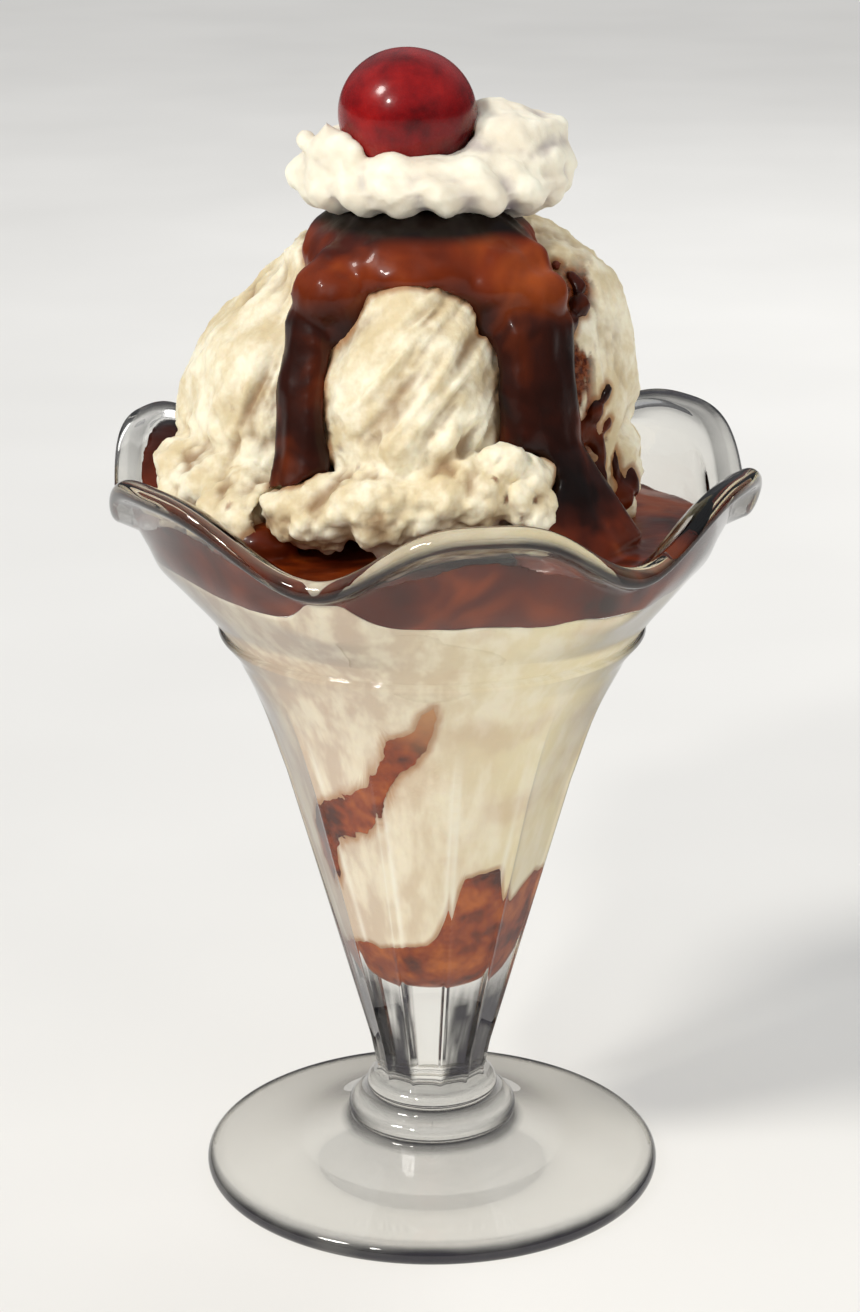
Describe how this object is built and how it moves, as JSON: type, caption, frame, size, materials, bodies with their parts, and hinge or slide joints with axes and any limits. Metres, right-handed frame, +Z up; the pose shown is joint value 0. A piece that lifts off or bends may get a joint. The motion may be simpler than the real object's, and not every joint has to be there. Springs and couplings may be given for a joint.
{
  "type": "ice cream sundae",
  "caption": "Ice cream sundae in a panelled tulip glass with a ruffled rim, topped with fudge sauce, whipped cream and a cherry.",
  "frame": {"origin": "centre of the foot's underside, on the surface that the glass stands on", "axes": "+Z up along the glass's axis, -Y towards the front"},
  "size_m": [0.1024, 0.1062, 0.1884],
  "materials": {
    "glass": "clear pressed glass, fire polished",
    "ice_cream": "vanilla ice cream, scraped and crumbly",
    "fudge": "hot fudge sauce, wet and glossy",
    "whipped_cream": "soft whipped cream",
    "cherry": "syrupy maraschino cherry skin"
  },
  "bodies": {
    "root": {"glass": "glass", "fudge_base": "fudge", "fudge_streak": "fudge", "ice_cream_fill": "ice_cream", "fudge_pool": "fudge", "scoop_front": "ice_cream", "scoop_left": "ice_cream", "scoop_right": "ice_cream", "scoop_back": "ice_cream", "fudge_cap": "fudge", "whipped_cream": "whipped_cream", "cherry": "cherry"}
  },
  "joints": []
}
